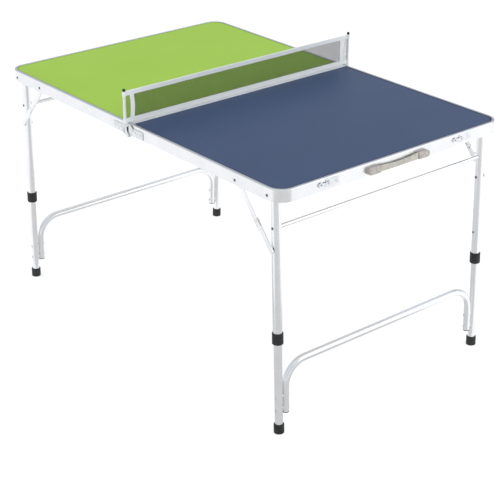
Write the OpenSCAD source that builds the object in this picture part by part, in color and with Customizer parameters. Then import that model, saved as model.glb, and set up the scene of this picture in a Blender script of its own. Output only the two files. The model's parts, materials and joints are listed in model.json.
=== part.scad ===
// Folding table-tennis table. Millimetres, +Z up, origin on the floor under the middle of the table.
// +X is the blue half and -X the green half. The halves meet at x = 0, where the net stands.
// Each end has a folding leg frame, and each leg frame a lower frame that slides up into it.

/* [Table top] */
// Length of the open table, along X
table_l = 1250; // [1200:5:1300]
// Width of the table, along Y
table_w = 800; // [760:5:860]
// Height of the playing surface above the floor
table_h = 700; // [690:1:720]
// Height of the aluminium rim
rim_h = 34; // [33:0.5:36]
// Thickness of the rim's outer wall
rim_wall = 1.8; // [1.2:0.1:2.5]
// Width of the rim's lip over the board's edge
rim_lip = 8; // [6:0.5:10]
// Width of the rail's lip at the fold
centre_lip = 13; // [9:0.5:14]
// Radius of the four outer corners
corner_r = 45; // [35:1:60]
// Thickness of the board
board_t = 5; // [4:0.5:5]

/* [Legs] */
// Distance between the two leg centres at one end
leg_track = 743.2; // [740:0.2:746]
// Distance of a foot's centre from the middle of the table
foot_x = 601.2; // [598:0.2:606]
// How far the legs lean outwards, in degrees
splay = 1.855; // [1:0.005:2.5]
// Diameter of the upper leg tube
upper_d = 25; // [24.6:0.1:25]
// Diameter of the lower leg tube
lower_d = 22; // [21.4:0.1:22]
// Wall thickness of the leg tubes
tube_wall = 1.2; // [1:0.1:1.2]
// Diameter of the black collar at the end of the upper tube
collar_d = 30; // [28.6:0.1:30.4]
// Length of the collar
collar_h = 31.5; // [26:0.5:34]
// Diameter of the foot
foot_d = 28.4; // [26:0.1:28.6]
// Height of the foot
foot_h = 27; // [20:1:28]
// How far the lower frame slides up into the upper one
retract = 118; // [112:1:118]

/* [Arch and cross rod] */
// Diameter of the bent arch tube between the lower legs
arch_d = 20; // [18:0.5:20]
// Distance between the arch's two upright ends
arch_track = 696.6; // [694:0.2:697]
// Height of the arch's level run
arch_z = 192.5; // [188:0.5:198]
// Bend radius of the arch, to the tube's centre
arch_r = 65; // [60:1:70]
// Height of the arch's open ends
arch_end_z = 56.5; // [54:0.5:57]
// Diameter of the cross rod between the upper legs
rod_d = 11; // [8:0.5:12]
// Height of the cross rod
rod_z = 586; // [580:1:592]

/* [Fold braces] */
// Distance of the brace's rail rivet from the middle of the table
brace_x = 455.3; // [450:0.1:460]
// Distance from the leg's pivot to the brace's rivet on it
brace_reach = 152; // [148:1:156]
// Width of the brace links
link_w = 18; // [15:0.5:18]

/* [Handle and latches] */
// Length of the handle, end caps included
handle_l = 217; // [200:1:250]
// Length of one end cap
handle_cap_l = 39; // [30:1:45]
// How far the handle stands out from the rim
handle_out = 12; // [11:0.5:15]
// Distance of each latch's pivot from the middle of the end rail
latch_y = 240; // [200:1:280]
// Distance from the latch's pivot to its claw
latch_reach = 27; // [25:1:30]

/* [Net] */
// Height of the net's top edge above the playing surface
net_h = 95; // [80:1:110]
// Width of the white tapes
tape_w = 14; // [10:1:18]
// Diameter of the net posts
post_d = 8; // [6:0.5:8]
// Distance from the rim's outer face to the middle of a post
post_out = 11; // [10.5:0.5:13]

/* [Hidden] */
$fn = 48;

// Colours
alu = [0.86, 0.87, 0.88];
steel = [0.62, 0.63, 0.65];
black = [0.09, 0.09, 0.1];
blue_top = [0.3, 0.36, 0.48];
green_top = [0.65, 0.8, 0.32];
grip_grey = [0.76, 0.75, 0.71];
cap_grey = [0.7, 0.68, 0.65];
white = [0.95, 0.95, 0.95];
net_grey = [0.35, 0.37, 0.38];

// Levels and small allowances
seam = 1.4;                     // half of the gap between the two halves
board_fit = 0.2;                // clearance of the board in its rim
lip_t = 1.2;                    // thickness of the rim's lip
rim_z = table_h - rim_h;        // underside of the rim, where the fold axis lies
board_z = table_h - lip_t - board_t;
shelf_t = 1.5;
foot_flange = 5;                // width of the rim's bottom flange
half_l = table_l / 2;
half_w = table_w / 2;
run_fit = 0.05;                 // radial clearance of a turning pin
gap = 0.3;                      // clearance between moving pieces that pass each other
past = 1;                       // overrun of a cutting shape

// Leg frame: its own frame has the pivot at the origin and the legs along -Z
leg_y = leg_track / 2;
pivot_z = table_h - lip_t - board_t - collar_d / 2 - 0.25;
pivot_x = foot_x - pivot_z * tan(splay);
leg_len = pivot_z / cos(splay);
pin_r = 2.5;
upper_r = upper_d / 2;
lower_r = lower_d / 2;
upper_end = pivot_z - 265.5;     // distance from the pivot to the upper tube's lower end
collar_end = upper_end + 2;
button_d = pivot_z - 360;       // distance from the pivot to the spring button
lower_top = button_d - 20;
arch_y = arch_track / 2;
bolt_z = [105, 68];             // heights of the bolts that hold the arch

// Braces: the two links lie in one line when the leg is open, and fold back on each other when it is in
leg_pin = [pivot_x + brace_reach * sin(splay), pivot_z - brace_reach * cos(splay)];
open_span = norm([leg_pin[0] - brace_x, leg_pin[1] - pivot_z]);
shut_span = brace_x - (pivot_x - brace_reach);
upper_link = (open_span + shut_span) / 2;
lower_link = (open_span - shut_span) / 2;
brace_angle = atan2(pivot_z - leg_pin[1], leg_pin[0] - brace_x);
link_layer = leg_y + upper_r + 2.5;     // inner face of the lower link
link_t = 3;
flange_y = link_layer + link_t + 0.4;   // inner face of the upper link's flange
flange_t = 1.5;
link_over = 25;                 // length of the upper link beyond the elbow

// Hinge, handle, latch and net details
ear_r = 7;
leaf_t = 2;
leaf_end = 67;
leaf_top = rim_z + 24;
rivet_r = 2;
head_r = 4;
head_t = 1.6;
grip_t = 8;
handle_x = half_l + handle_out / 2;
handle_z = rim_z + 18.5;
grip_half = handle_l / 2 - handle_cap_l - 0.4;
latch_z = rim_z + 18;
catch_z = rim_z - latch_z + latch_reach + rim_z;  // meets the hook's claw when the table is shut
net_y = half_w + post_out;
socket_top = table_h;
socket_h = 11;
net_foot = table_h + 0.8;
net_top = table_h + net_h;

// ---------- helpers ----------

// Puts an end's piece, drawn for the blue end, at the green end
module at_green() { mirror([1, 0, 0]) children(); }

// Puts a piece, drawn at the back (+Y), at the front
module at_front() { mirror([0, 1, 0]) children(); }

// A piece at the back and its mirror image at the front
module both_sides() {
    children();
    at_front() children();
}

// A rod along Y from y0 to y1 through the point (x, z)
module rod_y(r, x, z, y0, y1) {
    translate([x, y0, z]) rotate([-90, 0, 0]) cylinder(r = r, h = y1 - y0);
}

// A rod along X from x0 to x1 through the point (y, z)
module rod_x(r, y, z, x0, x1) {
    translate([x0, y, z]) rotate([0, 90, 0]) cylinder(r = r, h = x1 - x0);
}

// A low round rivet head: a disc with a smaller disc on it
module head_y(x, z, y, r = head_r, t = head_t) {
    rod_y(r, x, z, y, y + t * 0.6);
    rod_y(r * 0.7, x, z, y + t * 0.6, y + t);
}

module head_x(y, z, x, r = head_r, t = head_t) {
    rod_x(r, y, z, x, x + t * 0.6);
    rod_x(r * 0.7, y, z, x + t * 0.6, x + t);
}

// Outline of one half with rounded outer corners, drawn in by inset and starting at x0
module half_outline(inset, x0) {
    r = corner_r - inset;
    w = half_w - inset;
    l = half_l - inset;
    translate([x0, -w]) square([l - r - x0, 2 * w]);
    translate([x0, -w + r]) square([l - x0, 2 * (w - r)]);
    for (s = [-1, 1]) translate([l - r, s * (w - r)]) circle(r = r, $fn = 96);
}

// A band of the half's outline between two insets, from z0 up by h
module band(outer, inner, x0, z0, h) {
    translate([0, 0, z0]) linear_extrude(h) difference() {
        half_outline(outer, x0);
        half_outline(inner, -past);
    }
}

// Places of the two rivets that hold a hinge leaf, as [x, z]
hinge_rivets = [[32, rim_z + 15], [56, rim_z + 15]];

// The leg frame's own frame, put at the blue end and leaned out
module leg_frame() {
    translate([pivot_x, 0, pivot_z]) rotate([0, -splay, 0]) children();
}

// ---------- table top ----------

// The board, inside the rim
module board(tint) {
    color(tint) translate([0, 0, board_z]) linear_extrude(board_t)
        half_outline(rim_wall + board_fit, seam + rim_wall + board_fit);
}

// The bent rim extrusion: wall, lip over the board, shelf under it, and bottom flange
module rim() {
    color(alu) difference() {
        union() {
            band(0, rim_wall, seam, rim_z, rim_h);
            band(0, rim_lip, seam, table_h - lip_t, lip_t);
            band(rim_wall / 2, rim_wall + rim_lip, centre_lip + 0.2, board_z - shelf_t, shelf_t);
            band(rim_wall / 2, rim_wall + foot_flange, centre_lip + 0.2, rim_z, rim_wall);
        }
        both_sides() {
            rod_y(pin_r, pivot_x, pivot_z, half_w - 4, half_w + past);
            rod_y(pin_r, brace_x, pivot_z, half_w - 4, half_w + past);
            for (p = hinge_rivets) rod_y(rivet_r, p[0], p[1], half_w - 4, half_w + past);
        }
    }
}

// The rail along the fold: wall, lip, shelf and bottom flange between the rim's two ends
module centre_rail() {
    inner = half_w - rim_wall;
    color(alu) {
        translate([seam, -inner, rim_z]) cube([rim_wall, 2 * inner, rim_h - lip_t]);
        translate([seam, rim_lip - half_w, table_h - lip_t])
            cube([centre_lip - seam, table_w - 2 * rim_lip, lip_t]);
        translate([seam, -inner, board_z - shelf_t]) cube([centre_lip - seam, 2 * inner, shelf_t]);
        translate([seam, -inner, rim_z]) cube([centre_lip - seam, 2 * inner, rim_wall]);
    }
}

// Bracket that holds a leg's top: two cheeks, a stop behind the leg and a tab under the board
module leg_bracket() {
    cheek_t = 2;
    side = upper_r + 0.4;
    cheek_l = 40;
    low = rim_z + 2;
    stop_x = pivot_x + upper_r + 1;
    difference() {
        union() {
            for (y = [leg_y - side - cheek_t, leg_y + side])
                translate([stop_x + cheek_t - cheek_l, y, low]) cube([cheek_l, cheek_t, board_z - low]);
            translate([stop_x, leg_y - side - cheek_t, low])
                cube([cheek_t, 2 * (side + cheek_t), board_z - low]);
            translate([stop_x + cheek_t - cheek_l, leg_y - side - 18, board_z - cheek_t])
                cube([cheek_l, 18, cheek_t]);
        }
        rod_y(pin_r, pivot_x, pivot_z, leg_y - 20, leg_y + 20);
    }
}

module leg_brackets() {
    color(steel) both_sides() leg_bracket();
}

// Rivets on one half: leg pivots, brace pivots with their bushes, and hinge rivets
module half_rivets() {
    cheek = leg_y - upper_r - 2.4;
    color(steel) both_sides() {
        rod_y(pin_r, pivot_x, pivot_z, cheek, half_w);
        head_y(pivot_x, pivot_z, half_w);
        rod_y(head_r, pivot_x, pivot_z, cheek - 1.2, cheek);
        rod_y(pin_r, brace_x, pivot_z, flange_y - 1.2, half_w);
        head_y(brace_x, pivot_z, half_w);
        rod_y(head_r, brace_x, pivot_z, flange_y - 1.2 - gap, flange_y - gap);
        rod_y(head_r + 1, brace_x, pivot_z, flange_y + flange_t + gap, half_w - rim_wall);
        for (p = hinge_rivets) {
            rod_y(rivet_r, p[0], p[1], half_w - rim_wall, half_w + leaf_t);
            head_y(p[0], p[1], half_w + leaf_t, 3.5);
            rod_y(3.2, p[0], p[1], half_w - rim_wall - 1, half_w - rim_wall);
        }
    }
}

// A flat leaf with its ear, from x0 to the leaf's end, between the faces y0 and y0 + leaf_t
module leaf_plate(x0, y0) {
    translate([x0, y0, rim_z + 1]) cube([leaf_end - x0, leaf_t, leaf_top - rim_z - 1]);
}

module ear(y0, reach, bore) {
    difference() {
        union() {
            rod_y(ear_r, 0, rim_z, y0, y0 + leaf_t);
            translate([0, y0 + leaf_t, rim_z]) rotate([90, 0, 0]) linear_extrude(leaf_t)
                polygon([[0, ear_r], [reach, leaf_top - rim_z], [reach, 1], [4, -ear_r * 0.8], [0, -ear_r]]);
        }
        rod_y(bore, 0, rim_z, y0 - past, y0 + leaf_t + past);
    }
}

// The blue leaves lie flat on the rim. Their ears are the inner ones and hold the pins.
module blue_hinge_leaves() {
    color(steel) both_sides() difference() {
        union() {
            leaf_plate(16, half_w);
            ear(half_w, 18, pin_r);
        }
        for (p = hinge_rivets) rod_y(rivet_r, p[0], p[1], half_w - past, half_w + leaf_t + past);
    }
}

// The green leaves step out over the blue ears
module green_hinge_leaves() {
    step = leaf_t + gap;
    color(steel) at_green() both_sides() difference() {
        union() {
            leaf_plate(14, half_w);
            ear(half_w + step, 18, pin_r + run_fit);
            translate([14, half_w, rim_z + 1]) cube([4, step + leaf_t, leaf_top - rim_z - 1]);
        }
        for (p = hinge_rivets) rod_y(rivet_r, p[0], p[1], half_w - past, half_w + leaf_t + past);
    }
}

// The two pins of the fold, pressed into the blue ears and headed outside the green ones
module hinge_pins() {
    outer = half_w + 2 * leaf_t + gap;
    color(steel) both_sides() {
        rod_y(pin_r, 0, rim_z, half_w + 0.1, outer + gap);
        head_y(0, rim_z, outer + gap, 5);
    }
}

// ---------- handle ----------

// The end caps that hold the handle's grip
module handle_caps() {
    cap_low = rim_z + 3.5;
    cap_h = 18.5;
    color(cap_grey) both_sides() difference() {
        translate([half_l, handle_l / 2 - handle_cap_l, cap_low]) rotate([90, 0, 90])
            linear_extrude(handle_out) {
                square([handle_cap_l - cap_h / 2, cap_h]);
                translate([handle_cap_l - cap_h / 2, cap_h / 2]) circle(r = cap_h / 2);
            }
        rod_y(2 + run_fit, handle_x, handle_z, grip_half - past, grip_half + 7);
    }
}

// The grip: level along its lower edge and hollowed along its upper edge, with a trunnion at each end
module handle_grip() {
    low = handle_z - 15;
    high = handle_z + 3.5;
    scoop = 5;
    chord = grip_half - 3;
    scoop_r = (chord * chord + scoop * scoop) / (2 * scoop);
    color(grip_grey) {
        translate([handle_x - grip_t / 2, 0, 0]) rotate([90, 0, 90]) linear_extrude(grip_t)
            difference() {
                translate([-grip_half, low]) square([2 * grip_half, high - low]);
                translate([0, high - scoop + scoop_r]) circle(r = scoop_r, $fn = 180);
            }
        both_sides() rod_y(2, handle_x, handle_z, grip_half - 1, grip_half + 6);
    }
}

// ---------- latches ----------

// Plates and pivot rivets of the two hook latches, on the blue end rail
module latch_plate(y) {
    translate([half_l, y - 10, latch_z - 9]) cube([1.5, 45, 20]);
    rod_x(rivet_r, y, latch_z, half_l + 1.5, half_l + 4.4);
    head_x(y, latch_z, half_l + 4.4, 3.6, 1.4);
    head_x(y + 26, latch_z, half_l + 1.5, 3.2, 1.4);
}

module latch_plates() {
    color(steel) {
        latch_plate(-latch_y);
        latch_plate(latch_y);
    }
}

// A flat hook that lies along the rail and swings down over the other half's stud
module latch_hook(y) {
    t = 2.2;
    claw = 5.5;
    translate([half_l + 1.8, y, latch_z]) rotate([90, 0, 90]) linear_extrude(t) difference() {
        union() {
            circle(r = 6);
            translate([-latch_reach, -4]) square([latch_reach, 8]);
            translate([-latch_reach, 0]) circle(r = claw + 2.5);
        }
        circle(r = rivet_r + run_fit);
        translate([-latch_reach, 0]) circle(r = claw - 2);
        translate([-latch_reach - 3.5, -12]) square([7, 12]);
    }
}

module front_latch_hook() { color(steel) latch_hook(-latch_y); }
module back_latch_hook() { color(steel) latch_hook(latch_y); }

// Studs on the green end rail that the hooks catch
module latch_catches() {
    color(steel) at_green() for (y = [-latch_y, latch_y]) {
        translate([half_l, y - 9, catch_z - 8]) cube([1.5, 18, 18]);
        rod_x(3, y, catch_z, half_l + 1.5, half_l + 4.4);
        head_x(y, catch_z, half_l + 4.4, 5, 1.4);
    }
}

// ---------- upper leg frame ----------

// One upper tube with its holes for the pivot, brace rivet, cross rod screw and button
module upper_leg() {
    rod_d0 = pivot_z - rod_z;
    color(alu) leg_frame() difference() {
        translate([0, leg_y, -upper_end]) cylinder(r = upper_r, h = upper_end + 3.6);
        translate([0, leg_y, -upper_end - past])
            cylinder(r = upper_r - tube_wall, h = upper_end + 3.6 + 2 * past);
        rod_y(pin_r + run_fit, 0, 0, leg_y - 20, leg_y + 20);
        rod_y(rivet_r, 0, -brace_reach, leg_y - 20, leg_y + 20);
        rod_y(rivet_r, 0, -rod_d0, leg_y - 20, leg_y + 20);
        rod_y(3.1, 0, -button_d, leg_y - 20, leg_y);
    }
}

// Rounded plugs in the tops of the legs, bored for the pivot
module leg_plugs() {
    r = upper_r - tube_wall;
    color(black) leg_frame() both_sides() difference() {
        translate([0, leg_y, 0]) intersection() {
            union() {
                translate([0, 0, -14]) cylinder(r = r, h = 14 + 3.6);
                sphere(r = upper_r - 0.1, $fn = 64);
            }
            union() {
                translate([0, 0, -14]) cylinder(r = r, h = 14 + 3.6);
                translate([0, 0, 3.6]) cylinder(r = upper_r, h = upper_r);
            }
        }
        rod_y(pin_r + run_fit, 0, 0, leg_y - 20, leg_y + 20);
    }
}

module cross_rod() {
    color(alu) leg_frame() difference() {
        rod_y(rod_d / 2, 0, rod_z - pivot_z, -leg_y, leg_y);
        both_sides() {
            translate([0, leg_y, -upper_end]) cylinder(r = upper_r, h = upper_end);
            rod_y(rivet_r, 0, rod_z - pivot_z, leg_y - 30, leg_y);
        }
    }
}

// Screws into the cross rod's ends, and the brace rivets' stubs on the legs
module leg_screws() {
    z = rod_z - pivot_z;
    out = leg_y + upper_r;
    color(steel) leg_frame() both_sides() {
        rod_y(rivet_r, 0, z, leg_y - 28, out);
        difference() {
            rod_y(head_r, 0, z, out - 1.5, out + head_t);
            translate([0, leg_y, z - 10]) cylinder(r = upper_r, h = 20);
        }
        rod_y(rivet_r, 0, -brace_reach, leg_y - upper_r, link_layer - gap);
        difference() {
            union() {
                rod_y(5, 0, -brace_reach, out - 1.5, link_layer - gap);
                rod_y(head_r, 0, -brace_reach, leg_y - upper_r - head_t, leg_y - upper_r + 1.5);
            }
            translate([0, leg_y, -brace_reach - 10]) cylinder(r = upper_r, h = 20);
        }
    }
}

// Plastic collars that end the upper tubes and guide the lower ones
module collars() {
    color(black) leg_frame() both_sides() translate([0, leg_y, -collar_end]) difference() {
        cylinder(r = collar_d / 2, h = collar_h);
        translate([0, 0, 2]) cylinder(r = upper_r, h = collar_h);
        translate([0, 0, -past]) cylinder(r = lower_r + 0.2, h = 4);
    }
}

// ---------- lower leg frame ----------

// One lower tube, with button holes for the open and the folded length
module lower_leg() {
    color(alu) leg_frame() difference() {
        translate([0, leg_y, 8 - leg_len]) cylinder(r = lower_r, h = leg_len - 8 - lower_top);
        translate([0, leg_y, 7 - leg_len]) cylinder(r = lower_r - tube_wall, h = leg_len);
        for (d = [button_d, button_d + retract]) rod_y(3.3, 0, -d, leg_y - 20, leg_y);
        for (z = bolt_z) rod_y(pin_r, 0, z - pivot_z, leg_y - 20, leg_y + 20);
    }
}

// The arch: a level run, two bends and two upright ends
module arch() {
    r = arch_d / 2;
    bore = r - tube_wall;
    color(alu) leg_frame() difference() {
        arch_path(r, 0);
        arch_path(bore, past);
        both_sides() for (z = bolt_z) rod_y(pin_r, 0, z - pivot_z, arch_y - 20, arch_y + 20);
    }
}

// A rod of radius r along the arch's line, its ends longer by extra
module arch_path(r, extra) {
    level = arch_z - pivot_z;
    rod_y(r, 0, level, arch_r - arch_y, arch_y - arch_r);
    both_sides() {
        translate([0, arch_y - arch_r, level - arch_r]) rotate([0, -90, 0])
            rotate_extrude(angle = 90) translate([arch_r, 0]) circle(r = r);
        translate([0, arch_y, arch_end_z - pivot_z - extra])
            cylinder(r = r, h = arch_z - arch_r - arch_end_z + extra);
    }
}

// Plastic plugs in the arch's open ends
module arch_plugs() {
    color(black) leg_frame() both_sides() translate([0, arch_y, arch_end_z - pivot_z]) {
        translate([0, 0, -3]) cylinder(r = arch_d / 2, h = 3);
        cylinder(r = arch_d / 2 - tube_wall, h = 8);
    }
}

// Bolts through leg and arch, each with a head, a nut and a spacer between the tubes
module arch_bolts() {
    out = leg_y + lower_r;
    inner = arch_y - arch_d / 2;
    color(steel) leg_frame() both_sides() for (z = bolt_z) {
        rod_y(pin_r, 0, z - pivot_z, inner, out);
        difference() {
            rod_y(4.2, 0, z - pivot_z, out - 2, out + 1.6);
            translate([0, leg_y, z - pivot_z - 10]) cylinder(r = lower_r, h = 20);
        }
        difference() {
            rod_y(4.2, 0, z - pivot_z, inner - 2.4, inner + 2);
            translate([0, arch_y, z - pivot_z - 10]) cylinder(r = arch_d / 2, h = 20);
        }
        difference() {
            rod_y(5, 0, z - pivot_z, arch_y, leg_y);
            translate([0, leg_y, z - pivot_z - 10]) cylinder(r = lower_r, h = 20);
            translate([0, arch_y, z - pivot_z - 10]) cylinder(r = arch_d / 2, h = 20);
        }
    }
}

// Plastic feet, cut level with the floor
module feet() {
    color(black) both_sides() difference() {
        leg_frame() translate([0, leg_y, -leg_len - 1]) difference() {
            cylinder(r = foot_d / 2, h = foot_h + 1);
            translate([0, 0, 9]) cylinder(r = lower_r, h = foot_h);
        }
        translate([foot_x - 30, leg_y - 30, -10]) cube([60, 60, 10]);
    }
}

// ---------- braces ----------

// The brace's own frame: the rail rivet at the origin and the links along +X
module brace_frame() {
    translate([brace_x, 0, pivot_z]) rotate([0, brace_angle, 0]) children();
}

// Upper link: a flange on the rivet, with a web along its lower edge, and the elbow rivet
module brace_upper() {
    r = link_w / 2;
    far = upper_link + link_over;
    color(alu) brace_frame() both_sides() {
        difference() {
            union() {
                rod_y(r, 0, 0, flange_y, flange_y + flange_t);
                translate([0, flange_y, -r]) cube([far, flange_t, 2 * r]);
                translate([12, link_layer, -r]) cube([far - 12, flange_y - link_layer, flange_t]);
            }
            rod_y(pin_r + run_fit, 0, 0, flange_y - past, flange_y + flange_t + past);
        }
        rod_y(pin_r, upper_link, 0, link_layer, flange_y);
        head_y(upper_link, 0, flange_y + flange_t);
    }
}

// Lower link: a flat bar from the elbow to the leg
module brace_lower() {
    r = link_w / 2 - flange_t - gap;
    color(alu) brace_frame() both_sides() difference() {
        union() {
            for (x = [upper_link, upper_link + lower_link])
                rod_y(r, x, 0, link_layer, link_layer + link_t);
            translate([upper_link, link_layer, -r]) cube([lower_link, link_t, 2 * r]);
        }
        rod_y(pin_r + run_fit, upper_link, 0, link_layer - past, link_layer + link_t + past);
    }
}

// ---------- spring buttons ----------

module leg_button() {
    r = 3;
    face = leg_y - upper_r;
    color(steel) leg_frame() {
        rod_y(r, 0, -button_d, face - 1.6, face + tube_wall);
        rod_y(r * 0.8, 0, -button_d, face - 2.4, face - 1.6);
        rod_y(r * 0.5, 0, -button_d, face - 2.9, face - 2.4);
    }
}

// ---------- net ----------

// Sockets for the net posts, screwed to the blue half's hinge leaves
module net_sockets() {
    near = half_w + leaf_t + gap;
    deep = net_y + 6 - near;
    color(white) both_sides() difference() {
        union() {
            translate([-6, near, socket_top - socket_h]) cube([12, deep, socket_h]);
            translate([6, near, leaf_top - 8]) cube([16, 1.6, socket_top - leaf_top + 8]);
            translate([16, half_w + leaf_t, leaf_top - 8]) cube([6, gap, 8]);
        }
        translate([0, net_y, socket_top - socket_h + 4]) cylinder(r = post_d / 2 + gap, h = socket_h);
    }
}

module net_posts() {
    foot = socket_top - socket_h + 4;
    color(steel) both_sides() translate([0, net_y, foot]) cylinder(r = post_d / 2, h = net_top - foot);
}

module net_caps() {
    color(black) both_sides() translate([0, net_y, net_top]) {
        cylinder(r = post_d / 2 + 1, h = 2.4);
        translate([0, 0, 2.4]) cylinder(r = post_d / 2 - 0.5, h = 1.4);
    }
}

// A white tape between the posts, with a sleeve round each post
module tape(z) {
    t = 2.4;
    sleeve = post_d / 2 + 1.2;
    color(white) {
        translate([-t / 2, -net_y + sleeve - 0.4, z]) cube([t, 2 * (net_y - sleeve + 0.4), tape_w]);
        both_sides() translate([0, net_y, z]) difference() {
            cylinder(r = sleeve, h = tape_w);
            translate([0, 0, -past]) cylinder(r = post_d / 2, h = tape_w + 2 * past);
        }
    }
}

module net_top_tape() { tape(net_top - tape_w); }
module net_bottom_tape() { tape(net_foot); }

// The mesh between the tapes, with a slot where each side band lies
module net_mesh() {
    low = net_foot + tape_w;
    color(net_grey) difference() {
        translate([-0.5, post_d / 2 - net_y, low])
            cube([1, 2 * net_y - post_d, net_top - tape_w - low]);
        both_sides() translate([-1, band_y - tape_w / 2, low - past])
            cube([2, tape_w, net_h]);
    }
}

band_y = half_w - 12;           // middle of the white side bands

module net_side_bands() {
    low = net_foot + tape_w;
    color(white) both_sides() translate([-1, band_y - tape_w / 2, low])
        cube([2, tape_w, net_top - tape_w - low]);
}

// ---------- nodes ----------

board(blue_top);  // blue_panel
rim();  // blue_rim
centre_rail();  // blue_centre_rail
leg_brackets();  // blue_leg_brackets
half_rivets();  // blue_rivets
blue_hinge_leaves();
handle_caps();  // blue_handle_caps
latch_plates();
hinge_pins();
net_sockets();
at_green() board(green_top);  // green_panel
at_green() rim();  // green_rim
at_green() centre_rail();  // green_centre_rail
at_green() leg_brackets();  // green_leg_brackets
at_green() half_rivets();  // green_rivets
green_hinge_leaves();
at_green() handle_caps();  // green_handle_caps
latch_catches();
handle_grip();  // blue_handle_grip
at_green() handle_grip();  // green_handle_grip
front_latch_hook();
back_latch_hook();
at_front() upper_leg();  // blue_upper_front_leg
upper_leg();  // blue_upper_back_leg
cross_rod();  // blue_cross_rod
collars();  // blue_collars
leg_plugs();  // blue_leg_plugs
leg_screws();  // blue_leg_screws
at_green() at_front() upper_leg();  // green_upper_front_leg
at_green() upper_leg();  // green_upper_back_leg
at_green() cross_rod();  // green_cross_rod
at_green() collars();  // green_collars
at_green() leg_plugs();  // green_leg_plugs
at_green() leg_screws();  // green_leg_screws
at_front() lower_leg();  // blue_lower_front_leg
lower_leg();  // blue_lower_back_leg
arch();  // blue_arch
arch_plugs();  // blue_arch_plugs
feet();  // blue_feet
arch_bolts();  // blue_arch_bolts
at_green() at_front() lower_leg();  // green_lower_front_leg
at_green() lower_leg();  // green_lower_back_leg
at_green() arch();  // green_arch
at_green() arch_plugs();  // green_arch_plugs
at_green() feet();  // green_feet
at_green() arch_bolts();  // green_arch_bolts
brace_upper();  // blue_brace_upper
brace_lower();  // blue_brace_lower
at_green() brace_upper();  // green_brace_upper
at_green() brace_lower();  // green_brace_lower
at_front() leg_button();  // blue_front_button
leg_button();  // blue_back_button
at_green() at_front() leg_button();  // green_front_button
at_green() leg_button();  // green_back_button
net_posts();
net_caps();
net_mesh();
net_top_tape();
net_bottom_tape();
net_side_bands();
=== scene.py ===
# %% [markdown]
# # A folding ping pong table
#
# The real table is two shallow aluminium pans joined by a hinge. Each pan holds a thin board, green or blue.
# Each end stands on two telescoping legs with a bent tube between them, and a net stands over the fold.
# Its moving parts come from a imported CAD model, which this lesson loads as a fixed frame. Every piece below is
# then worked out as a surface on a grid, takes the place of its CAD part and rides on the same body.

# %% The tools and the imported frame
import json
import math

import bmesh
import bpy
import numpy as np
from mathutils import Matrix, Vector


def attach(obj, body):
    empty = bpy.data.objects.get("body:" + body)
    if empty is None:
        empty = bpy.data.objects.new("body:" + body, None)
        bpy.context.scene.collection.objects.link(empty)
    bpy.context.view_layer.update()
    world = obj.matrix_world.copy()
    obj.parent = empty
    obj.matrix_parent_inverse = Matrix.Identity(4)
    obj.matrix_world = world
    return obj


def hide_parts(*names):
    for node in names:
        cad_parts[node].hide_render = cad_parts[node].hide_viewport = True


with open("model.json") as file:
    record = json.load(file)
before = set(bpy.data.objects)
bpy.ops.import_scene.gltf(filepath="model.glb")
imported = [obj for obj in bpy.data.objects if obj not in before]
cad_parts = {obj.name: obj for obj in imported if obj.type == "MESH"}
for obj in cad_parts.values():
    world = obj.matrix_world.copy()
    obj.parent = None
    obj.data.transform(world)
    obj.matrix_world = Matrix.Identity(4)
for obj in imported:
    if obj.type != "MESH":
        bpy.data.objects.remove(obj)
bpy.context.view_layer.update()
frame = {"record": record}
record = frame["record"]
body_of_node = {n: body for body, nodes in record["behaviour"]["bodies"].items() for n in nodes}

# %% [markdown]
# ## The camera
#
# A long lens from a little above the blue end shows the table as a buyer first sees it. The camera looks along a
# direction given by an azimuth round the table and an elevation above the horizon, so it can be repeated anywhere.

# %% Camera
azimuth, elevation = math.radians(50.369), math.radians(25.545)
back = Vector((
    math.sin(azimuth) * math.cos(elevation),
    -math.cos(azimuth) * math.cos(elevation),
    math.sin(elevation),
))
camera = bpy.data.objects.new("camera", bpy.data.cameras.new("camera"))
camera.location = (2.945677, -2.412634, 2.016605)
camera.rotation_mode = "QUATERNION"
camera.rotation_quaternion = (-back).to_track_quat("-Z", "Y")
camera.data.lens = 100.39
camera.data.sensor_width = 36.0
bpy.context.scene.collection.objects.link(camera)
bpy.context.scene.camera = camera
print("camera", round(camera.location.length, 2), "m from the middle of the floor")

# %% [markdown]
# ## Surfaces on a grid
#
# Extrusions, turned parts, bent tubes and pressed plates are all one idea: a table of points P(i, j), with one
# four-cornered face for each cell. Only the rule for P changes. Numpy works out all the points at once, and the
# distances along i and j become the surface's own coordinates, so brushed metal and weave follow the shape.
# Lengths here are in millimetres, as a maker would write them, and become metres when the mesh is made.

# %% A grid of points becomes faces
MM = 0.001


def grid(points, wrap_i=False, wrap_j=True, caps=True):
    """Faces on points P(i, j): cell (i, j) joins P(i, j), P(i+1, j), P(i+1, j+1) and P(i, j+1).

    wrap joins the last row or column to the first, and caps closes the first and last row with a face.
    The two surface coordinates are the mean distances walked along i and along j.
    """
    rows, cols = points.shape[:2]
    i, j = np.meshgrid(
        np.arange(rows if wrap_i else rows - 1), np.arange(cols if wrap_j else cols - 1), indexing="ij"
    )
    ci = np.stack([i, i + 1, i + 1, i], -1).reshape(-1, 4)
    cj = np.stack([j, j, j + 1, j + 1], -1).reshape(-1, 4)
    faces = ((ci % rows) * cols + cj % cols).tolist()
    walked = [
        np.concatenate([[0], np.linalg.norm(np.roll(points, -1, a) - points, axis=2).mean(1 - a).cumsum()])
        for a in (0, 1)
    ]
    uv = [np.stack([walked[0][ci], walked[1][cj]], -1).reshape(-1, 2)]
    for row in (0, rows - 1) if caps and not wrap_i else ():
        faces.append((row * cols + np.arange(cols)).tolist())
        centred = points[row] - points[row].mean(0)
        uv.append(centred @ np.linalg.svd(centred, full_matrices=False)[2][:2].T)
    return points.reshape(-1, 3), faces, np.concatenate(uv)


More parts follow.
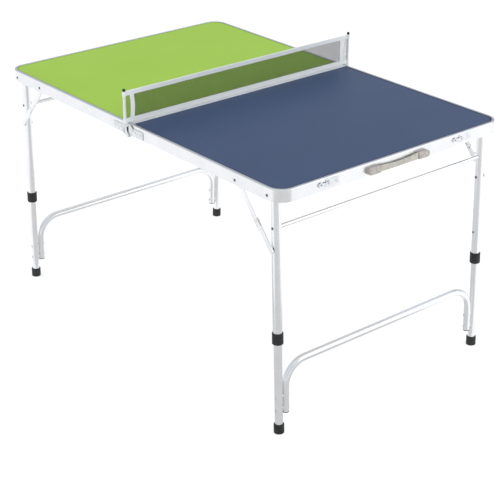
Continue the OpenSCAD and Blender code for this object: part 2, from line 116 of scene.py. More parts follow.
def flip(parts, axis):
    """The same parts on the other side of the middle: the coordinate of that axis changes its sign."""
    sign = np.where(np.arange(3) == "xyz".index(axis), -1.0, 1.0)
    return [(points * sign, faces, uv) for points, faces, uv in parts]


def both_sides(parts):
    """Parts at the back (+Y), and again at the front."""
    return parts + flip(parts, "y")


def turn_about_y(parts, degrees, to):
    """Parts turned about Y, then moved: x' = x cos + z sin, z' = z cos - x sin."""
    c, s = math.cos(math.radians(degrees)), math.sin(math.radians(degrees))
    turn = np.array([[c, 0, -s], [0, 1, 0], [s, 0, c]])
    return [(points @ turn + np.array(to), faces, uv) for points, faces, uv in parts]


# %% Rules for P: rounded corners, plates, turned parts and swept tubes
def eased(corners, radius, steps=4):
    """A polygon with soft corners: B(t) = (1-t)^2 A + 2t(1-t) C + t^2 B, with A and B at `radius` from corner C."""
    corners = np.asarray(corners, float)
    to_last, to_next = (np.roll(corners, k, 0) - corners for k in (1, -1))
    last, following = (np.linalg.norm(v, axis=1, keepdims=True) for v in (to_last, to_next))
    radius = np.broadcast_to(np.asarray(radius, float), len(corners))[:, None]
    a = corners + to_last / last * np.minimum(radius, last * 0.49)
    b = corners + to_next / following * np.minimum(radius, following * 0.49)
    t = np.linspace(0, 1, steps)[None, :, None]
    curve = (1 - t) ** 2 * a[:, None] + 2 * t * (1 - t) * corners[:, None] + t**2 * b[:, None]
    return curve.reshape(-1, 2)


def arc(centre, radius, start, end, steps=16):
    """Points on a circle: centre + radius (cos a, sin a), with a from start to end in degrees."""
    a = np.radians(np.linspace(start, end, steps))
    return np.stack([centre[0] + radius * np.cos(a), centre[1] + radius * np.sin(a)], 1)


def drawn_in(outline, by):
    """An anticlockwise outline moved inwards: each point goes along the mean of its two edges' normals."""
    edge = np.roll(outline, -1, 0) - outline
    edge = edge / np.linalg.norm(edge, axis=1, keepdims=True)
    normal = np.stack([-edge[:, 1], edge[:, 0]], 1)
    before = np.roll(normal, 1, 0)
    return outline + by * (normal + before) / np.maximum(1 + (normal * before).sum(1, keepdims=True), 0.5)


AXES = {"x": np.eye(3)[[1, 2, 0]], "y": np.eye(3)[[0, 2, 1]], "z": np.eye(3)}


def plate(outline, low, high, axis, ease=0.4, steps=3):
    """A flat plate across an axis, with its edges rounded over.

    Ring k is the outline drawn in by ease (1 - sin a), at height low + ease (1 - cos a); the top mirrors it.
    """
    outline = np.asarray(outline, float)
    following = np.roll(outline, -1, 0)
    if (outline[:, 0] * following[:, 1] - following[:, 0] * outline[:, 1]).sum() < 0:
        outline = outline[::-1]
    a = np.linspace(0, math.pi / 2, steps)
    draw = np.concatenate([ease * (1 - np.sin(a)), ease * (1 - np.sin(a))[::-1]])
    rise = ease * (1 - np.cos(a))
    level = np.concatenate([low + rise, (high - rise)[::-1]])
    rings = np.stack([drawn_in(outline, d) for d in draw])
    local = np.concatenate([rings, np.broadcast_to(level[:, None, None], rings.shape[:2] + (1,))], -1)
    return grid(local @ AXES[axis])


def turned(profile, centre, axis, steps=32, hollow=False):
    """A turned part: P(i, j) = centre + height_i along the axis + radius_i (cos t_j, sin t_j) across it."""
    profile = np.asarray(profile, float)
    t = np.linspace(0, 2 * math.pi, steps, endpoint=False)
    local = np.stack(np.broadcast_arrays(
        profile[:, :1] * np.cos(t), profile[:, :1] * np.sin(t), profile[:, 1:2]
    ), -1)
    return grid(local @ AXES[axis] + np.array(centre, float), wrap_i=hollow, caps=False)


def bent_tube(path, radius, steps=32):
    """A tube whose middle line lies across X: P(i, j) = path_i + radius (cos t_j X + sin t_j N_i).

    N_i is the line's normal in its own plane, and both ends are closed.
    """
    path = np.asarray(path, float)
    along = np.gradient(path, axis=0)
    along /= np.linalg.norm(along, axis=1, keepdims=True)
    x = np.array([1.0, 0, 0])
    normal = np.cross(along, x)
    t = np.linspace(0, 2 * math.pi, steps, endpoint=False)[None, :, None]
    return grid(path[:, None] + radius * (np.cos(t) * x + np.sin(t) * normal[:, None]))


def head(radius, height):
    """Profile of a domed rivet head: radius cos a, height sin a, with a small dimple in the middle."""
    a = np.radians(np.linspace(0, 78, 9))
    dome = np.stack([radius * np.cos(a), height * np.sin(a)], 1)
    return np.concatenate([[[0, 0], [radius * 0.96, 0]], dome, [[radius * 0.16, height * 0.8], [0, height * 0.78]]])


def rod(radius, low, high, ease=0.3):
    """Profile of a closed rod from one height to another, with its two edges softened."""
    r, e = radius, ease
    return [(0, low), (r - e, low), (r - e * 0.3, low + e * 0.3), (r, low + e),
            (r, high - e), (r - e * 0.3, high - e * 0.3), (r - e, high), (0, high)]


# %% [markdown]
# ## From parts to a finished piece
#
# Each piece is one mesh in its true place, so it moves with its body and nothing else. Points that fall together are
# merged, which closes seams and poles, and the faces are then turned outwards. Normals are weighted by face area, so
# a small rounded edge catches a line of light while the flat beside it stays flat.

# %% Making a piece and giving it its body
def make(name, parts, *finishes):
    """Joins parts into one mesh, merges its seams and poles, and turns its faces outwards."""
    starts = np.cumsum([0] + [len(points) for points, _, _ in parts])
    faces = [[v + start for v in face] for (_, part, _), start in zip(parts, starts) for face in part]
    mesh = bpy.data.meshes.new(name)
    mesh.from_pydata(np.concatenate([points for points, _, _ in parts]) * MM, [], faces)
    coords = np.concatenate([uv for _, _, uv in parts]) * MM
    mesh.uv_layers.new(name="along_and_round").data.foreach_set("uv", coords.astype(np.float32).ravel())
    work = bmesh.new()
    work.from_mesh(mesh)
    bmesh.ops.remove_doubles(work, verts=work.verts, dist=1e-6)
    bmesh.ops.dissolve_degenerate(work, dist=1e-7, edges=work.edges)
    bmesh.ops.recalc_face_normals(work, faces=work.faces)
    work.to_mesh(mesh)
    work.free()
    mesh.shade_smooth()
    mesh.set_sharp_from_angle(angle=math.radians(40))
    for finish in finishes:
        mesh.materials.append(finish)
    piece = bpy.data.objects.new(name, mesh)
    bpy.context.scene.collection.objects.link(piece)
    return piece


def stand_for(node, parts, *finishes, weighted=True):
    """A finished piece that is shown for a CAD part and rides on that part's body."""
    piece = make(node + ".made", parts, *finishes)
    if weighted:
        piece.modifiers.new("flat faces stay flat", "WEIGHTED_NORMAL").keep_sharp = True
    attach(piece, body_of_node[node])
    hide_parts(node)
    print(piece.name, len(piece.data.polygons), "faces")
    return piece


def of_faces(piece, what, size=3, kind=np.float32):
    """One value or vector for each face of a piece, as a table with a row for each face."""
    values = np.zeros(len(piece.data.polygons) * size, kind)
    piece.data.polygons.foreach_get(what, values)
    return values.reshape(-1, size)


def finish_faces(piece, which):
    """Gives each face the finish with that number in the piece's own list."""
    piece.data.polygons.foreach_set("material_index", which.astype(np.int32))


def at_both_ends(name, parts, *finishes, **more):
    """The blue end's piece, and its mirror image at the green end."""
    return [
        stand_for("blue_" + name, parts, *finishes, **more),
        stand_for("green_" + name, flip(parts, "x"), *finishes, **more),
    ]

# %% [markdown]
# ## Finishes
#
# No real surface is one flat colour. Each finish here mixes two near colours with a slow noise, changes its gloss
# with a second one, and raises a fine grain. Extruded metal is drawn out along its length, so its noise is stretched
# along the surface's own first coordinate. Numbers that are the same everywhere are set on the shader itself.

# %% A finish from two colours, a gloss range and a grain
def nodes_of(material):
    """Switches a material to nodes, and gives its tree and its main shader."""
    material.use_nodes = True
    tree = material.node_tree
    return tree, tree.nodes["Principled BSDF"]


def noise(tree, coords, stretch, scale, detail=3.0):
    """Noise on coordinates that are multiplied by stretch first."""
    where = tree.nodes.new("ShaderNodeMapping")
    where.inputs["Scale"].default_value = stretch
    tree.links.new(coords, where.inputs["Vector"])
    made = tree.nodes.new("ShaderNodeTexNoise")
    made.inputs["Scale"].default_value = scale
    made.inputs["Detail"].default_value = detail
    tree.links.new(where.outputs["Vector"], made.inputs["Vector"])
    return made.outputs["Fac"]


def between(tree, value, low, high, start=0.3, end=0.7):
    """A value from start to end becomes one from low to high."""
    made = tree.nodes.new("ShaderNodeMapRange")
    for name, number in zip(("From Min", "From Max", "To Min", "To Max"), (start, end, low, high)):
        made.inputs[name].default_value = number
    tree.links.new(value, made.inputs["Value"])
    return made.outputs["Result"]


def mixed(tree, factor, first, second):
    """A colour between two others."""
    made = tree.nodes.new("ShaderNodeMix")
    made.data_type = "RGBA"
    for socket, colour in ((made.inputs[6], first), (made.inputs[7], second)):
        if isinstance(colour, tuple):
            socket.default_value = (*colour, 1)
        else:
            tree.links.new(colour, socket)
    tree.links.new(factor, made.inputs[0])
    return made.outputs[2]


def raised(tree, shader, height, depth, strength=1.0):
    """A grain of that depth in metres, as a bump in the shader's normal."""
    made = tree.nodes.new("ShaderNodeBump")
    made.inputs["Strength"].default_value = strength
    made.inputs["Distance"].default_value = depth
    tree.links.new(height, made.inputs["Height"])
    tree.links.new(made.outputs["Normal"], shader.inputs["Normal"])


def finish(name, dark, light, gloss, grain, depth, metal=0.0, along=False, patch=9.0, specular=0.5):
    """A finish: slow patches between two colours, gloss between two roughnesses, and a grain of a depth in metres.

    grain is (stretch, scale). The coordinates are the object's own, or along and round the surface if along is true.
    """
    material = bpy.data.materials.new(name)
    tree, shader = nodes_of(material)
    source = tree.nodes.new("ShaderNodeTexCoord").outputs["UV" if along else "Object"]
    stretch, scale = grain
    fine = noise(tree, source, stretch, scale)
    slow = noise(tree, source, (1, 1, 1), patch, 2.0)
    tree.links.new(mixed(tree, between(tree, slow, 0, 1), dark, light), shader.inputs["Base Color"])
    tree.links.new(between(tree, fine, *gloss), shader.inputs["Roughness"])
    shader.inputs["Metallic"].default_value = metal
    shader.inputs["Specular IOR Level"].default_value = specular
    raised(tree, shader, fine, depth)
    return material


# %% [markdown]
# The rim, the legs, the arch, the rods and the braces are satin anodised aluminium: pale, bright along its edges and
# drawn out along its length. The rim and its lip take darker copies of it, which are painted shade. Brackets, rivets
# and latches are zinc-plated steel, greyer and a little blotched. A darker copy of the zinc on most rivets, screws and
# buttons is painted shade too.

# %% Metals
DRAWN = ((6.0, 900.0, 1.0), 1.0)
aluminium = finish("satin_aluminium", (0.83, 0.84, 0.85), (0.90, 0.905, 0.91), (0.22, 0.34), DRAWN, 0.000008,
                   metal=1.0, along=True, patch=14.0)
# The rim's copy of the aluminium is a little darker than the rest: painted shade on the same metal.
rim_shaded_metal = finish("rim_aluminium_painted_shade", (0.78, 0.79, 0.80), (0.84, 0.845, 0.85), (0.22, 0.34), DRAWN, 0.000008,
                   metal=1.0, along=True, patch=14.0)
# The lip's copy is darker still, and duller: painted shade on the lip's flat top.
lip_shaded_metal = finish("lip_aluminium_painted_shade", (0.55, 0.56, 0.57), (0.63, 0.64, 0.65), (0.34, 0.46), DRAWN, 0.000008,
                   metal=1.0, along=True, patch=14.0)
zinc = finish("zinc_plate", (0.66, 0.67, 0.69), (0.80, 0.81, 0.82), (0.3, 0.45), ((1, 1, 1), 900.0), 0.00003,
              metal=1.0, patch=90.0)
# A dark copy of the zinc: painted shade for the small rivets, screws and buttons, which sit in shadow.
zinc_painted_shade = finish("rivet_steel_painted_shade", (0.16, 0.16, 0.17), (0.26, 0.26, 0.27), (0.32, 0.5), ((1, 1, 1), 900.0), 0.00003,
                   metal=1.0, patch=120.0)
post_enamel = finish("post_enamel", (0.74, 0.76, 0.76), (0.80, 0.82, 0.82), (0.28, 0.4), ((1, 1, 1), 500.0), 0.00002,
                     patch=60.0)

# %% [markdown]
# The boards are thin fibreboard with a coloured melamine face. The face is satin, with a fine pebble that only shows
# where light grazes it. The back is plain paper, off-white and slightly mottled, and it shows from under the table.

# %% Board faces and their paper back
PEBBLE = ((1, 1, 1), 620.0)
blue_face = finish("blue_melamine", (0.036, 0.064, 0.134), (0.041, 0.071, 0.148), (0.34, 0.44), PEBBLE, 0.00003,
                   patch=3.0, specular=0.15)
green_face = finish("green_melamine", (0.325, 0.540, 0.040), (0.345, 0.565, 0.048), (0.34, 0.44), PEBBLE, 0.00003,
                    patch=3.0, specular=0.15)
# The darker copies of each face are painted shade for the narrow strip beside the rim's lip.
blue_shade_strip = finish("blue_melamine_painted_shade", (0.011, 0.019, 0.042), (0.016, 0.027, 0.056), (0.4, 0.5), PEBBLE, 0.00003,
                   patch=30.0, specular=0.1)
green_shade_strip = finish("green_melamine_painted_shade", (0.20, 0.34, 0.06), (0.24, 0.40, 0.07), (0.4, 0.5), PEBBLE, 0.00003,
                    patch=30.0, specular=0.1)
paper_back = finish("board_back_paper", (0.60, 0.58, 0.53), (0.68, 0.66, 0.61), (0.7, 0.85), ((1, 1, 1), 260.0),
                    0.00008, patch=22.0, specular=0.25)

# %% [markdown]
# Feet, collars and plugs are black moulded plastic with the dull skin of a spark-eroded mould. The handle is a
# stone-coloured plastic with a faint marbling from the colour that was mixed into it.

# %% Plastics
black_plastic = finish("black_moulding", (0.010, 0.010, 0.011), (0.019, 0.019, 0.020), (0.42, 0.6),
                       ((1, 1, 1), 1400.0), 0.00008, patch=60.0, specular=0.4)
grip_plastic = finish("stone_moulding", (0.42, 0.40, 0.34), (0.60, 0.58, 0.51), (0.45, 0.6), ((1, 1, 1), 700.0),
                      0.00012, patch=70.0, specular=0.35)
cap_plastic = finish("cap_moulding", (0.40, 0.36, 0.33), (0.54, 0.50, 0.46), (0.5, 0.65), ((1, 1, 1), 700.0),
                     0.00012, patch=110.0, specular=0.35)
white_plastic = finish("white_moulding", (0.70, 0.71, 0.69), (0.78, 0.79, 0.77), (0.35, 0.5), ((1, 1, 1), 700.0),
                       0.00006, patch=60.0, specular=0.4)


# %% [markdown]
# The net's tape is a plain weave. Two sets of fine bands cross in the surface's own coordinates: the threads along
# the tape and the threads over it. Where one band is high the other is low, which is what a weave does.

# %% Woven tape and netting yarn
def woven(name, dark, light, threads, depth, sheen):
    """Cloth: height is the product of two sets of bands along the surface's coordinates, with soft patches."""
    material = bpy.data.materials.new(name)
    tree, shader = nodes_of(material)
    source = tree.nodes.new("ShaderNodeTexCoord").outputs["UV"]
    bands = []
    for direction in ("X", "Y"):
        band = tree.nodes.new("ShaderNodeTexWave")
        band.bands_direction = direction
        band.inputs["Scale"].default_value = threads
        band.inputs["Distortion"].default_value = 0.4
        band.inputs["Detail Scale"].default_value = 2.0
        tree.links.new(source, band.inputs["Vector"])
        bands.append(band.outputs["Fac"])
    both = tree.nodes.new("ShaderNodeMath")
    both.operation = "MULTIPLY"
    for band, socket in zip(bands, both.inputs):
        tree.links.new(band, socket)
    weave = both.outputs["Value"]
    patches = noise(tree, source, (1, 1, 1), 40.0)
    worn = mixed(tree, between(tree, patches, 0, 1), dark, light)
    tree.links.new(mixed(tree, between(tree, weave, 0, 1, 0, 0.6), dark, worn), shader.inputs["Base Color"])
    tree.links.new(between(tree, weave, 0.9, 0.72), shader.inputs["Roughness"])
    shader.inputs["Sheen Weight"].default_value = sheen
    shader.inputs["Specular IOR Level"].default_value = 0.2
    raised(tree, shader, weave, depth)
    return material


tape_cloth = woven("white_woven_tape", (0.82, 0.84, 0.82), (0.90, 0.92, 0.90), 260.0, 0.00003, 0.1)
net_yarn = woven("net_yarn", (0.022, 0.026, 0.026), (0.040, 0.045, 0.045), 420.0, 0.00002, 0.05)
stitch_yarn = woven("stitch_yarn", (0.80, 0.82, 0.80), (0.90, 0.92, 0.90), 420.0, 0.00002, 0.1)
print("finishes", len(bpy.data.materials))

# %% [markdown]
# ## The table top
#
# The rim is one aluminium extrusion, bent round two corners. Its section has a wall, a lip over the board's edge, a
# shelf under the board and a foot flange. Bending keeps the section square to the line, so each of its points
# simply runs along an outline that is drawn in by that point's distance from the outer face.

# %% Main sizes of the top
half_l, half_w, top, rim_low = 625.0, 400.0, 700.0, 666.0
corner_r, seam, lip_w, lip_t, wall = 45.0, 1.4, 8.0, 1.2, 1.8
shelf_top = 693.8
board_top = top - lip_t


def half_outline(inset, x0, steps=14):
    """Outline of one half at every inset: from the fold along the front, round the end and back to the fold.

    A corner is C + (R - inset)(cos a, sin a) round the centre C. The straights just join the corners.
    """
    inset = np.atleast_1d(np.asarray(inset, float))[None, :]
    a = np.radians(np.linspace(-90, 0, steps))[:, None]
    r = corner_r - inset
    front = np.stack([half_l - corner_r + r * np.cos(a), corner_r - half_w + r * np.sin(a)], -1)
    rear = (front * (1, -1))[::-1]
    start = np.stack([np.full(inset.shape, x0), inset - half_w], -1)
    return np.concatenate([start, front, rear, start * (1, -1)])


# %% Rims
rim_section = eased(
    [(0, rim_low), (0, top), (lip_w, top), (lip_w, board_top), (wall, board_top), (wall, shelf_top),
     (9.8, shelf_top), (9.8, 692.3), (wall, 692.3), (wall, 667.8), (6.8, 667.8), (6.8, rim_low)],
    [0.9, 2.6, 0.9, 0.2, 0.3, 0.3, 0.5, 0.5, 0.6, 0.8, 0.6, 0.6],
)
line = half_outline(rim_section[:, 0], seam)
height = np.broadcast_to(rim_section[:, 1][None, :, None], line.shape[:2] + (1,))
rim = [grid(np.concatenate([line, height], -1))]
for piece in at_both_ends("rim", rim, rim_shaded_metal, lip_shaded_metal):
    # The lip's flat top faces take the second finish, the copy with painted shade.
    face_height, up = of_faces(piece, "center")[:, 2], of_faces(piece, "normal")[:, 2]
    lip = (up > 0.8) & (face_height > face_height.max() - 0.5 * MM)
    finish_faces(piece, lip)
    print(piece.name, "lip faces", int(lip.sum()))

# %% [markdown]
# At the fold a straight rail closes each pan. It is cut square and butts against the rim's two ends, so its lip
# stops where theirs begin. The two rails stand a few millimetres apart, or the hinge could not close.

# %% Rails at the fold
rail_section = eased(
    [(seam, rim_low), (seam, top), (13, top), (13, board_top), (seam + wall, board_top), (seam + wall, 693.7),
     (13, 693.7), (13, 692.2), (seam + wall, 692.2), (seam + wall, 667.8), (13, 667.8), (13, rim_low + 0.1)],
    [0.6, 1.6, 0.9, 0.2, 0.3, 0.3, 0.5, 0.5, 0.6, 0.8, 0.6, 0.6],
)
rail_end = half_w - lip_w
stations = np.linspace(-rail_end, rail_end, 9)
rail = np.stack(np.broadcast_arrays(
    rail_section[None, :, 0], stations[:, None], rail_section[None, :, 1]
), -1)
stub = plate([(seam, rim_low + 0.2), (seam + wall, rim_low + 0.2), (seam + wall, 698.6), (seam, 698.6)],
             rail_end - 1, half_w - wall, "y", 0.2)
at_both_ends("centre_rail", [grid(rail)] + both_sides([stub]), aluminium)

# %% [markdown]
# The board is cut to the rim's inside line with a little clearance, and its edge is broken with a light chamfer. A
# narrow strip along the rim's lip is darker: a painted shade where the lip would shade the board. The solid is a stack
# of five rings, and each face takes its finish from where it is: the shaded strip, the rest of the top, or the paper
# elsewhere.

# %% Boards
board_gap, chamfer, strip_w = 0.2, 0.5, 4.0
board_line = half_outline([wall + board_gap], seam + wall + board_gap, 12)[:, 0]
strip = lip_w - wall - board_gap + strip_w
rings = np.stack([
    np.column_stack([drawn_in(board_line, inset), np.full(len(board_line), level)])
    for inset, level in ((chamfer, shelf_top), (0, shelf_top + chamfer), (0, board_top - chamfer),
                         (chamfer, board_top), (strip, board_top))
])
board = [grid(rings)]
for half, finishes, sheet in (("blue", (blue_face, paper_back, blue_shade_strip), board),
                              ("green", (green_face, paper_back, green_shade_strip), flip(board, "x"))):
    piece = stand_for(half + "_panel", sheet, *finishes)
    up = of_faces(piece, "normal")[:, 2]
    corners = of_faces(piece, "loop_total", 1, np.int32)[:, 0]
    # Flat top faces in the strip beside the lip take the third finish, the painted shade.
    finish_faces(piece, np.where(up < 0.3, 1, np.where((corners == 4) & (up > 0.9), 2, 0)))

# %% [markdown]
# ## Hinges and rivets
#
# The leaves are blanked from 2 mm strip: a long tab that is riveted to the rim, and a round ear at its lower edge
# for the pin. The blue ear lies against the rim. The green leaf steps outwards, so that its ear passes over it.

# %% Hinge leaves and pins
leaf_t, step_out, leaf_far, leaf_high, ear_r = 2.0, 2.3, 67, 690, 7.0
leaf_line = np.concatenate([
    eased([(leaf_far, rim_low + 1), (leaf_far, leaf_high), (1.6, leaf_high), (1.6, 674)], [3.0, 3.0, 1.0, 0.2]),
    arc((0, rim_low), ear_r, 80, 250),
    [(4.0, 660.4), (18, rim_low + 1)],
])
blue_leaf = [plate(leaf_line, half_w, half_w + leaf_t, "y")]
stand_for("blue_hinge_leaves", both_sides(blue_leaf), zinc)
tab = plate(eased([(leaf_far, rim_low + 1), (leaf_far, leaf_high), (14, leaf_high), (14, rim_low + 1)], 2.0),
            half_w, half_w + leaf_t, "y")
joggle = plate(eased([(14, half_w), (18, half_w), (18, half_w + step_out + leaf_t), (14, half_w + step_out + leaf_t)],
                     0.8), rim_low + 1, leaf_high, "z", 0.3)
ear_line = np.concatenate([
    [(18, leaf_high), (5.0, leaf_high), (2.2, 674)],
    arc((0, rim_low), ear_r, 78, 250),
    [(4.0, 660.4), (18, rim_low + 1)],
])
ear = plate(ear_line, half_w + step_out, half_w + step_out + leaf_t, "y")
stand_for("green_hinge_leaves", flip(both_sides([tab, joggle, ear]), "x"), zinc)
pin_out = half_w + step_out + leaf_t + 0.3
pin = [turned(rod(2.5, half_w + 0.1, pin_out + 0.2), (0, 0, rim_low), "y"),
       turned(head(5.0, 1.6), (0, pin_out, rim_low), "y")]
stand_for("hinge_pins", both_sides(pin), zinc)

# %% Rivets in each half
pivot_x, pivot_z, brace_x = 579.224, 678.55, 455.3
leg_y, upper_r, lower_r = 371.6, 12.5, 11.0
flange_y = 390.0


def rivet(x, z, low, high, radius=2.5, head_r=4.0, inner_r=4.0):
    """A rivet along Y: its shaft, the domed head outside and the flat upset end inside."""
    return [
        turned(rod(radius, low, high + 0.2), (x, 0, z), "y", 20),
        turned(head(head_r, 1.6), (x, high, z), "y", 28),
        turned(rod(inner_r, low - 1.2, low, 0.4), (x, 0, z), "y", 24),
    ]


cheek = leg_y - upper_r - 2.4
half_rivets = rivet(pivot_x, pivot_z, cheek, half_w) + rivet(brace_x, pivot_z, flange_y - 0.3, half_w)
half_rivets += [turned(rod(5.0, flange_y + 1.8, half_w - wall), (brace_x, 0, pivot_z), "y", 28)]
for x in (32.0, 56.0):
    half_rivets += rivet(x, rim_low + 15, half_w - wall, half_w + leaf_t, 2.0, 3.5, 3.2)
# Rivets away from the fold take the zinc with painted shade. Those at the fold keep the plain zinc.
for piece in at_both_ends("rivets", both_sides(half_rivets), zinc_painted_shade, zinc):
    finish_faces(piece, np.abs(of_faces(piece, "center")[:, 0]) < 100 * MM)

# %% [markdown]
# ## Leg brackets
#
# Each leg's top turns between two cheeks of a pressed bracket under the board. A stop behind the leg takes the load
# when the leg is open, and a tab screws the bracket down. These are four plates with rounded corners.

# %% Leg brackets
side, stop_x, low = upper_r + 0.4, pivot_x + upper_r + 1, rim_low + 2
cheek_line = eased([(stop_x - 38, low), (stop_x + 2, low), (stop_x + 2, shelf_top), (stop_x - 38, shelf_top)],
                   [7, 1.5, 0.3, 0.3])
bracket = [plate(cheek_line, y, y + 2, "y") for y in (leg_y - side - 2, leg_y + side)]
bracket += [
    plate(eased([(leg_y - side - 2, low), (leg_y + side + 2, low), (leg_y + side + 2, shelf_top),
                 (leg_y - side - 2, shelf_top)], 0.5), stop_x, stop_x + 2, "x"),
    plate(eased([(stop_x - 38, leg_y - side - 18), (stop_x + 2, leg_y - side - 18), (stop_x + 2, leg_y - side),
                 (stop_x - 38, leg_y - side)], [5, 5, 0.5, 0.5]), shelf_top - 2, shelf_top, "z"),
]
at_both_ends("leg_brackets", both_sides(bracket), zinc)

# %% [markdown]
# ## Legs
#
# A leg frame is easiest to draw upright, with its pivot at the origin, and to lean outwards afterwards. Tubes are
# turned profiles: the outside wall down, round the lip and up the bore, so even the open ends have a wall.

# %% Sizes of a leg and the lean
splay = 1.855
leg_len = pivot_z / math.cos(math.radians(splay))
tube_wall = 1.2


def leaned(parts):
    """Parts drawn upright under the pivot, turned about Y by the splay and put in their place."""
    return turn_about_y(parts, -splay, (pivot_x, 0, pivot_z))


def leg_piece(name, parts, *finishes, **more):
    """The same leg part at both ends of the table."""
    return at_both_ends(name, leaned(parts), *finishes, **more)


def leg_tubes(name, radius, low, high):
    """A pair of tubes with a bore, front and back, as two pieces at each end."""
    r, inner, e = radius, radius - tube_wall, 0.35
    levels = np.linspace(high - 2, low + 2, 7)
    outside = np.stack([np.full(7, r), levels], 1)
    bore = np.stack([np.full(7, inner), levels[::-1]], 1)
    profile = np.concatenate([
        [(r - e, high), (r, high - e)], outside, [(r, low + e), (r - e, low), (inner + e, low), (inner, low + e)],
        bore, [(inner, high - e), (inner + e, high)],
    ])
    tube = [turned(profile, (0, leg_y, 0), "z", 56, hollow=True)]
    leg_piece(name % "back", tube, aluminium)
    leg_piece(name % "front", flip(tube, "y"), aluminium)


# %% Upper and lower tubes
button_height, tube_past_button = 360.0, 20
upper_low = 265.5 - pivot_z
lower_top = button_height - pivot_z + tube_past_button
leg_tubes("upper_%s_leg", upper_r, upper_low, 3.6)
leg_tubes("lower_%s_leg", lower_r, 8 - leg_len, lower_top)

# %% [markdown]
# The collar at the end of the upper tube is a plastic sleeve with an inner lip that guides the lower tube. Three
# shallow grooves round it give a grip. The foot is a cap with a broken edge, worn level with the floor.

# %% Collars, feet and top plugs
groove = np.array([(15.0, 0), (14.6, 0.5), (14.6, 1.2), (15.0, 1.7)])
collar_low = upper_low - 2
grooves = np.concatenate([groove + (0, z) for z in (8.0, 14.5, 21.0)])
collar_profile = np.concatenate([
    [(11.2, 0.6), (11.8, 0), (14.0, 0), (15.0, 1.0)], grooves,
    [(15.0, 30.4), (14.2, 31.5), (12.6, 31.5), (12.5, 30.5), (12.5, 2), (11.2, 2)],
])
collar = turned(collar_profile + (0, collar_low), (0, leg_y, 0), "z", 56, hollow=True)
leg_piece("collars", both_sides([collar]), black_plastic)

foot_profile = np.array([
    (0, 0), (12.6, 0), (13.8, 0.6), (14.2, 1.8), (14.2, 6), (13.9, 6.7), (13.9, 7.5), (14.2, 8.2), (14.2, 25.2),
    (13.6, 26.5), (12.4, 27), (11.0, 26.5), (11.0, 9), (0, 9),
])
foot = leaned(both_sides([turned(foot_profile + (0, -leg_len), (0, leg_y, 0), "z", 56)]))
level = np.array([-np.inf, -np.inf, 0.0])
at_both_ends("feet", [(np.maximum(points, level), faces, uv) for points, faces, uv in foot], black_plastic)

dome = np.radians(np.linspace(18, 90, 9))
plug_profile = np.concatenate([
    [(0, -14), (11.0, -14), (11.3, -13.6), (11.3, 3.6)],
    np.stack([12.4 * np.cos(dome), 12.4 * np.sin(dome)], 1),
])
leg_piece("leg_plugs", both_sides([turned(plug_profile, (0, leg_y, 0), "z", 48)]), black_plastic)

# %% [markdown]
# ## Arch and cross rod
#
# The arch is one length of 20 mm tube with two bends. Its middle line is three straights joined by quarter circles,
# and a ring of points is carried along it, square to the line. Both its ends are closed with small black plugs.

# %% Arch, plugs and cross rod
arch_y, arch_r, bend = 348.3, 10.0, 65.0
arch_level, arch_low = 192.5 - pivot_z, 56.5 - pivot_z
corner = arc((arch_y - bend, arch_level - bend), bend, 0, 90, 14)
upright = np.stack([np.full(6, arch_y), np.linspace(arch_low, arch_level - bend - 2, 6)], 1)
run = np.stack([np.linspace(arch_y - bend - 2, 0, 12), np.full(12, arch_level)], 1)
half_line = np.concatenate([upright, corner, run])
other_half = (half_line * (-1, 1))[-2::-1]
arch_line = np.concatenate([half_line, other_half])
arch_path = np.concatenate([np.zeros((len(arch_line), 1)), arch_line], 1)
leg_piece("arch", [bent_tube(arch_path, arch_r, 40)], aluminium)

arch_plug = np.array([(0, -3), (8.4, -3), (9.6, -2.5), (10.0, -1.5), (10, -0.3), (9.6, 0), (8.7, 0), (8.7, 8), (0, 8)])
leg_piece("arch_plugs", both_sides([turned(arch_plug + (0, arch_low), (0, arch_y, 0), "z", 40)]), black_plastic)

rod_z = 586.0 - pivot_z
leg_piece("cross_rod", [turned(rod(5.5, -(leg_y - 11.2), leg_y - 11.2), (0, 0, rod_z), "y", 36)], aluminium)

# %% [markdown]
# Bolts join the arch to the legs: a domed head outside, a spacer between the tubes and a hexagon nut inside. A nut
# is the same turned rule with only six steps round.

# %% Bolts, screws and brace stubs
brace_pin_z, link_face = -152.0, leg_y + upper_r + 2.5
inner = arch_y - arch_r
bolt_heights = (105.0, 68.0)
bolts = []
for z in [height - pivot_z for height in bolt_heights]:
    bolts += [
        turned(rod(2.5, inner - 3.0, leg_y + lower_r), (0, 0, z), "y", 20),
        turned(rod(4.2, leg_y + lower_r - 2, leg_y + lower_r + 0.3), (0, 0, z), "y", 28),
        turned(head(4.2, 1.5), (0, leg_y + lower_r + 0.2, z), "y", 28),
        turned(rod(4.2, inner - 2.4, inner + 0.6, 0.4), (0, 0, z), "y", 6),
        turned(rod(5.0, arch_y + arch_r - 1.6, leg_y - lower_r + 1.3), (0, 0, z), "y", 28),
    ]
leg_piece("arch_bolts", both_sides(bolts), zinc)

screws = [
    turned(rod(2.0, leg_y - 28, leg_y + upper_r), (0, 0, rod_z), "y", 16),
    turned(rod(4.0, leg_y + upper_r - 1.5, leg_y + upper_r + 0.3), (0, 0, rod_z), "y", 28),
    turned(head(4.0, 1.5), (0, leg_y + upper_r + 0.1, rod_z), "y", 28),
    turned(rod(5.0, leg_y + upper_r - 1.5, link_face - 0.3), (0, 0, brace_pin_z), "y", 28),
    turned(rod(2.0, leg_y - upper_r, leg_y + upper_r), (0, 0, brace_pin_z), "y", 16),
    turned(rod(4.0, leg_y - upper_r - 1.5, leg_y - upper_r + 0.4, 0.6), (0, 0, brace_pin_z), "y", 28),
]
# The screws take the zinc with painted shade.
leg_piece("leg_screws", both_sides(screws), zinc_painted_shade)

